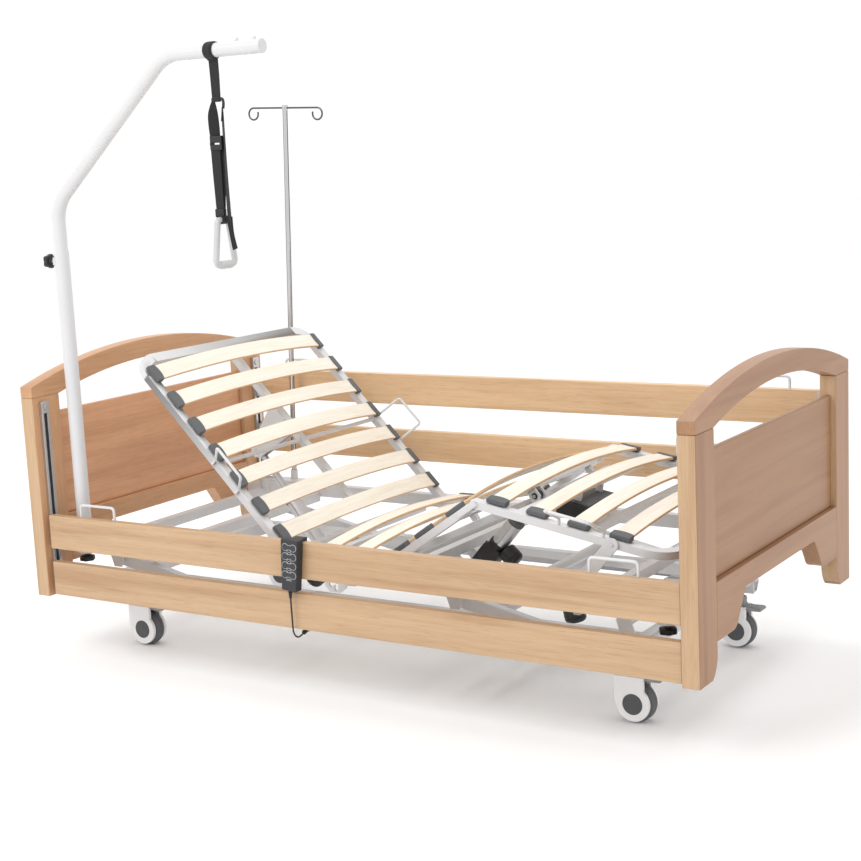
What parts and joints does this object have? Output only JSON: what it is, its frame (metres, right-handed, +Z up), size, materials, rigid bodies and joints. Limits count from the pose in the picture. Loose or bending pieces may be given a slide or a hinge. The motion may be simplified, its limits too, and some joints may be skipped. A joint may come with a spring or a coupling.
{
  "type": "adjustable hospital bed",
  "caption": "Wooden-ended nursing bed with lever lift, tilting slatted sections, drop side rails, castors, lifting pole with trapeze grip, drip pole and corded handset.",
  "frame": {"origin": "on the floor, at the middle of the plan", "axes": "+X along the bed towards the foot end, +Y across it away from the side with the lifting pole, +Z up"},
  "size_m": [2.12, 1.0926, 1.741],
  "materials": {
    "board_laminate": "satin",
    "rail_laminate": "satin",
    "slat_wood": "matt",
    "white_steel": "gloss powder coat",
    "bright_steel": "ground",
    "chrome_steel": "polished",
    "guide_aluminium": "anodised",
    "black_plastic": "fine texture",
    "cap_rubber": "matt",
    "grey_plastic": "satin",
    "pedal_grey": "satin",
    "white_shell": "gloss",
    "castor_tyre": "matt",
    "webbing": "woven",
    "cord_rubber": "matt"
  },
  "bodies": {
    "base": {"base_frame": "white_steel"},
    "upper_frame": {"upper_frame": "white_steel", "clamp_knobs": "black_plastic", "seat_slats": "slat_wood", "head_board_frame": "board_laminate", "head_board_panel": "board_laminate", "foot_board_frame": "board_laminate", "foot_board_panel": "board_laminate", "rail_guides": "guide_aluminium", "lifting_pole_post": "white_steel"},
    "lift_arm_foot": {"lift_arm_foot": "white_steel"},
    "lift_arm_head": {"lift_arm_head": "white_steel"},
    "lift_actuator_housing": {"lift_actuator_housing": "black_plastic"},
    "lift_actuator_rod": {"lift_actuator_rod": "bright_steel"},
    "backrest": {"backrest_frame": "white_steel", "backrest_slats": "slat_wood", "backrest_slat_caps": "cap_rubber"},
    "back_actuator_rod": {"back_actuator_rod": "bright_steel"},
    "back_actuator_housing": {"back_actuator_housing": "black_plastic"},
    "thigh_section": {"thigh_frame": "white_steel", "thigh_slats": "slat_wood"},
    "calf_section": {"calf_frame": "white_steel", "calf_slats": "slat_wood", "calf_slat_caps": "cap_rubber", "control_box": "black_plastic"},
    "calf_links": {"calf_links": "white_steel"},
    "leg_actuator_housing": {"leg_actuator_housing": "black_plastic"},
    "leg_actuator_rod": {"leg_actuator_rod": "bright_steel"},
    "near_lower_rail": {"near_lower_rail": "rail_laminate", "handset_connector": "black_plastic"},
    "near_upper_rail": {"near_upper_rail": "rail_laminate", "handset": "black_plastic", "handset_cord": "cord_rubber"},
    "far_lower_rail": {"far_lower_rail": "rail_laminate"},
    "far_upper_rail": {"far_upper_rail": "rail_laminate"},
    "lifting_pole_arm": {"lifting_pole_arm": "white_steel"},
    "lifting_pole_knob": {"lifting_pole_knob": "black_plastic"},
    "trapeze_strap": {"trapeze_strap": "webbing"},
    "trapeze_handle": {"trapeze_handle": "grey_plastic"},
    "iv_pole": {"iv_pole": "chrome_steel"},
    "handset_key_1": {"handset_key_1": "grey_plastic"},
    "handset_key_2": {"handset_key_2": "grey_plastic"},
    "handset_key_3": {"handset_key_3": "grey_plastic"},
    "handset_key_4": {"handset_key_4": "grey_plastic"},
    "release_button_head_near": {"release_button_head_near": "black_plastic"},
    "castor_fork_head_near": {"castor_fork_head_near": "white_shell"},
    "castor_wheel_head_near": {"castor_wheel_head_near": "castor_tyre"},
    "brake_pedal_head_near": {"brake_pedal_head_near": "pedal_grey"},
    "release_button_head_far": {"release_button_head_far": "black_plastic"},
    "castor_fork_head_far": {"castor_fork_head_far": "white_shell"},
    "castor_wheel_head_far": {"castor_wheel_head_far": "castor_tyre"},
    "brake_pedal_head_far": {"brake_pedal_head_far": "pedal_grey"},
    "release_button_foot_near": {"release_button_foot_near": "black_plastic"},
    "castor_fork_foot_near": {"castor_fork_foot_near": "white_shell"},
    "castor_wheel_foot_near": {"castor_wheel_foot_near": "castor_tyre"},
    "brake_pedal_foot_near": {"brake_pedal_foot_near": "pedal_grey"},
    "release_button_foot_far": {"release_button_foot_far": "black_plastic"},
    "castor_fork_foot_far": {"castor_fork_foot_far": "white_shell"},
    "castor_wheel_foot_far": {"castor_wheel_foot_far": "castor_tyre"},
    "brake_pedal_foot_far": {"brake_pedal_foot_far": "pedal_grey"}
  },
  "joints": [
    {"name": "lift", "type": "hinge", "parent": "base", "child": "lift_arm_foot", "pos_m": [0.822, 0, 0.17], "axis": [0, 1, 0], "range_deg": [0, 48]},
    {"name": "lift_top_pivot", "type": "hinge", "parent": "lift_arm_foot", "child": "upper_frame", "pos_m": [0.33293, 0, 0.27396], "axis": [0, 1, 0], "range_deg": [-48, 0]},
    {"name": "lift_head_pivot", "type": "hinge", "parent": "base", "child": "lift_arm_head", "pos_m": [-0.35, 0, 0.17], "axis": [0, 1, 0], "range_deg": [0, 48]},
    {"name": "lift_actuator_pivot", "type": "hinge", "parent": "base", "child": "lift_actuator_housing", "pos_m": [0.392, 0, 0.19], "axis": [0, -1, 0], "range_deg": [0, 2.6]},
    {"name": "lift_actuator_stroke", "type": "slide", "parent": "lift_actuator_housing", "child": "lift_actuator_rod", "axis": [0.983, 0, 0.1838], "range_m": [0, 0.0925]},
    {"name": "backrest_tilt", "type": "hinge", "parent": "upper_frame", "child": "backrest", "pos_m": [-0.206, 0, 0.34], "axis": [0, 1, 0], "range_deg": [-45.7, 19.3]},
    {"name": "back_actuator_lug", "type": "hinge", "parent": "backrest", "child": "back_actuator_rod", "pos_m": [-0.61011, 0, 0.54478], "axis": [0, 1, 0], "range_deg": [-0.95, 2.2]},
    {"name": "back_actuator_stroke", "type": "slide", "parent": "back_actuator_rod", "child": "back_actuator_housing", "axis": [0.6121, 0, -0.7908], "range_m": [-0.157, 0.0665]},
    {"name": "thigh_tilt", "type": "hinge", "parent": "upper_frame", "child": "thigh_section", "pos_m": [0.104, 0, 0.34], "axis": [0, -1, 0], "range_deg": [-33.8, 0]},
    {"name": "knee", "type": "hinge", "parent": "thigh_section", "child": "calf_section", "pos_m": [0.39651, 0, 0.53582], "axis": [0, -1, 0], "range_deg": [0, 43.95]},
    {"name": "calf_link_bolt", "type": "hinge", "parent": "calf_section", "child": "calf_links", "pos_m": [0.78598, 0, 0.46644], "axis": [0, -1, 0], "range_deg": [-52.5, 0]},
    {"name": "leg_actuator_pivot", "type": "hinge", "parent": "upper_frame", "child": "leg_actuator_housing", "pos_m": [0.15, 0, 0.235], "axis": [0, -1, 0], "range_deg": [-31, 0]},
    {"name": "leg_actuator_stroke", "type": "slide", "parent": "leg_actuator_housing", "child": "leg_actuator_rod", "axis": [0.6544, 0, 0.7561], "range_m": [-0.0655, 0]},
    {"name": "near_side_travel", "type": "slide", "parent": "upper_frame", "child": "near_lower_rail", "axis": [0, 0, 1], "range_m": [0, 0.25]},
    {"name": "near_upper_rail_travel", "type": "slide", "parent": "near_lower_rail", "child": "near_upper_rail", "axis": [0, 0, 1], "range_m": [0, 0.044], "deforming": ["handset_cord"]},
    {"name": "far_side_travel", "type": "slide", "parent": "upper_frame", "child": "far_lower_rail", "axis": [0, 0, 1], "range_m": [-0.25, 0]},
    {"name": "far_upper_rail_travel", "type": "slide", "parent": "far_lower_rail", "child": "far_upper_rail", "axis": [0, 0, 1], "range_m": [-0.044, 0]},
    {"name": "release_button_head_near_press", "type": "slide", "parent": "upper_frame", "child": "release_button_head_near", "axis": [-1, 0, 0], "range_m": [0, 0.0035], "stiffness_N_per_m": 400},
    {"name": "castor_swivel_head_near", "type": "hinge", "parent": "base", "child": "castor_fork_head_near", "pos_m": [-0.837, -0.337, 0.15], "axis": [0, 0, 1], "continuous": true},
    {"name": "castor_roll_head_near", "type": "hinge", "parent": "castor_fork_head_near", "child": "castor_wheel_head_near", "pos_m": [-0.812, -0.337, 0.051], "axis": [0, 1, 0], "continuous": true},
    {"name": "brake_pedal_head_near_tilt", "type": "hinge", "parent": "castor_fork_head_near", "child": "brake_pedal_head_near", "pos_m": [-0.799, -0.337, 0.117], "axis": [0, 1, 0], "range_deg": [0, 12]},
    {"name": "release_button_head_far_press", "type": "slide", "parent": "upper_frame", "child": "release_button_head_far", "axis": [-1, 0, 0], "range_m": [0, 0.0035], "stiffness_N_per_m": 400},
    {"name": "castor_swivel_head_far", "type": "hinge", "parent": "base", "child": "castor_fork_head_far", "pos_m": [-0.837, 0.337, 0.15], "axis": [0, 0, 1], "continuous": true},
    {"name": "castor_roll_head_far", "type": "hinge", "parent": "castor_fork_head_far", "child": "castor_wheel_head_far", "pos_m": [-0.812, 0.337, 0.051], "axis": [0, 1, 0], "continuous": true},
    {"name": "brake_pedal_head_far_tilt", "type": "hinge", "parent": "castor_fork_head_far", "child": "brake_pedal_head_far", "pos_m": [-0.799, 0.337, 0.117], "axis": [0, 1, 0], "range_deg": [0, 12]},
    {"name": "release_button_foot_near_press", "type": "slide", "parent": "upper_frame", "child": "release_button_foot_near", "axis": [1, 0, 0], "range_m": [0, 0.0035], "stiffness_N_per_m": 400},
    {"name": "castor_swivel_foot_near", "type": "hinge", "parent": "base", "child": "castor_fork_foot_near", "pos_m": [0.78, -0.337, 0.15], "axis": [0, 0, 1], "continuous": true},
    {"name": "castor_roll_foot_near", "type": "hinge", "parent": "castor_fork_foot_near", "child": "castor_wheel_foot_near", "pos_m": [0.805, -0.337, 0.051], "axis": [0, 1, 0], "continuous": true},
    {"name": "brake_pedal_foot_near_tilt", "type": "hinge", "parent": "castor_fork_foot_near", "child": "brake_pedal_foot_near", "pos_m": [0.818, -0.337, 0.117], "axis": [0, 1, 0], "range_deg": [0, 12]},
    {"name": "release_button_foot_far_press", "type": "slide", "parent": "upper_frame", "child": "release_button_foot_far", "axis": [1, 0, 0], "range_m": [0, 0.0035], "stiffness_N_per_m": 400},
    {"name": "castor_swivel_foot_far", "type": "hinge", "parent": "base", "child": "castor_fork_foot_far", "pos_m": [0.78, 0.337, 0.15], "axis": [0, 0, 1], "continuous": true},
    {"name": "castor_roll_foot_far", "type": "hinge", "parent": "castor_fork_foot_far", "child": "castor_wheel_foot_far", "pos_m": [0.805, 0.337, 0.051], "axis": [0, 1, 0], "continuous": true},
    {"name": "brake_pedal_foot_far_tilt", "type": "hinge", "parent": "castor_fork_foot_far", "child": "brake_pedal_foot_far", "pos_m": [0.818, 0.337, 0.117], "axis": [0, 1, 0], "range_deg": [0, 12]},
    {"name": "lifting_pole_swing", "type": "hinge", "parent": "upper_frame", "child": "lifting_pole_arm", "pos_m": [-0.94, -0.44, 1.15], "axis": [0, 0, 1], "range_deg": [-90, 90]},
    {"name": "lifting_pole_knob_turn", "type": "hinge", "parent": "upper_frame", "child": "lifting_pole_knob", "pos_m": [-0.98, -0.44, 1.162], "axis": [-1, 0, 0], "range_deg": [-180, 180]},
    {"name": "trapeze_strap_swing", "type": "hinge", "parent": "lifting_pole_arm", "child": "trapeze_strap", "pos_m": [-0.332, -0.44, 1.714], "axis": [1, 0, 0], "range_deg": [-40, 40]},
    {"name": "trapeze_handle_swing", "type": "hinge", "parent": "trapeze_strap", "child": "trapeze_handle", "pos_m": [-0.332, -0.44, 1.27], "axis": [0, 1, 0], "range_deg": [-60, 60]},
    {"name": "iv_pole_turn", "type": "hinge", "parent": "upper_frame", "child": "iv_pole", "pos_m": [-0.842, 0.463, 0.355], "axis": [0.0454, 0, 0.999], "continuous": true},
    {"name": "handset_key_1_rock", "type": "hinge", "parent": "near_upper_rail", "child": "handset_key_1", "pos_m": [-0.0889, -0.5539, 0.41303], "axis": [0.075, 0, 0.9972], "range_deg": [-3, 3], "stiffness_Nm_per_rad": 0.3},
    {"name": "handset_key_2_rock", "type": "hinge", "parent": "near_upper_rail", "child": "handset_key_2", "pos_m": [-0.09077, -0.5539, 0.3881], "axis": [0.075, 0, 0.9972], "range_deg": [-3, 3], "stiffness_Nm_per_rad": 0.3},
    {"name": "handset_key_3_rock", "type": "hinge", "parent": "near_upper_rail", "child": "handset_key_3", "pos_m": [-0.09265, -0.5539, 0.36318], "axis": [0.075, 0, 0.9972], "range_deg": [-3, 3], "stiffness_Nm_per_rad": 0.3},
    {"name": "handset_key_4_rock", "type": "hinge", "parent": "near_upper_rail", "child": "handset_key_4", "pos_m": [-0.09452, -0.5539, 0.33825], "axis": [0.075, 0, 0.9972], "range_deg": [-3, 3], "stiffness_Nm_per_rad": 0.3}
  ],
  "couplings": [
    {"joint": "lift_top_pivot", "follows": "lift", "ratio": -1},
    {"joint": "lift_head_pivot", "follows": "lift", "ratio": 1},
    {"joint": "lift_actuator_pivot", "follows": "lift", "ratio": 0.051},
    {"joint": "lift_actuator_stroke", "follows": "lift", "m_per_rad": 0.1103},
    {"joint": "back_actuator_lug", "follows": "backrest_tilt", "ratio": -0.0471},
    {"joint": "back_actuator_stroke", "follows": "backrest_tilt", "m_per_rad": 0.19584},
    {"joint": "knee", "follows": "thigh_tilt", "ratio": -1.2988},
    {"joint": "calf_link_bolt", "follows": "thigh_tilt", "ratio": 1.5492},
    {"joint": "leg_actuator_pivot", "follows": "thigh_tilt", "ratio": 0.9142},
    {"joint": "leg_actuator_stroke", "follows": "thigh_tilt", "m_per_rad": 0.11051},
    {"joint": "near_upper_rail_travel", "follows": "near_side_travel", "ratio": 0.176},
    {"joint": "far_upper_rail_travel", "follows": "far_side_travel", "ratio": 0.176}
  ]
}
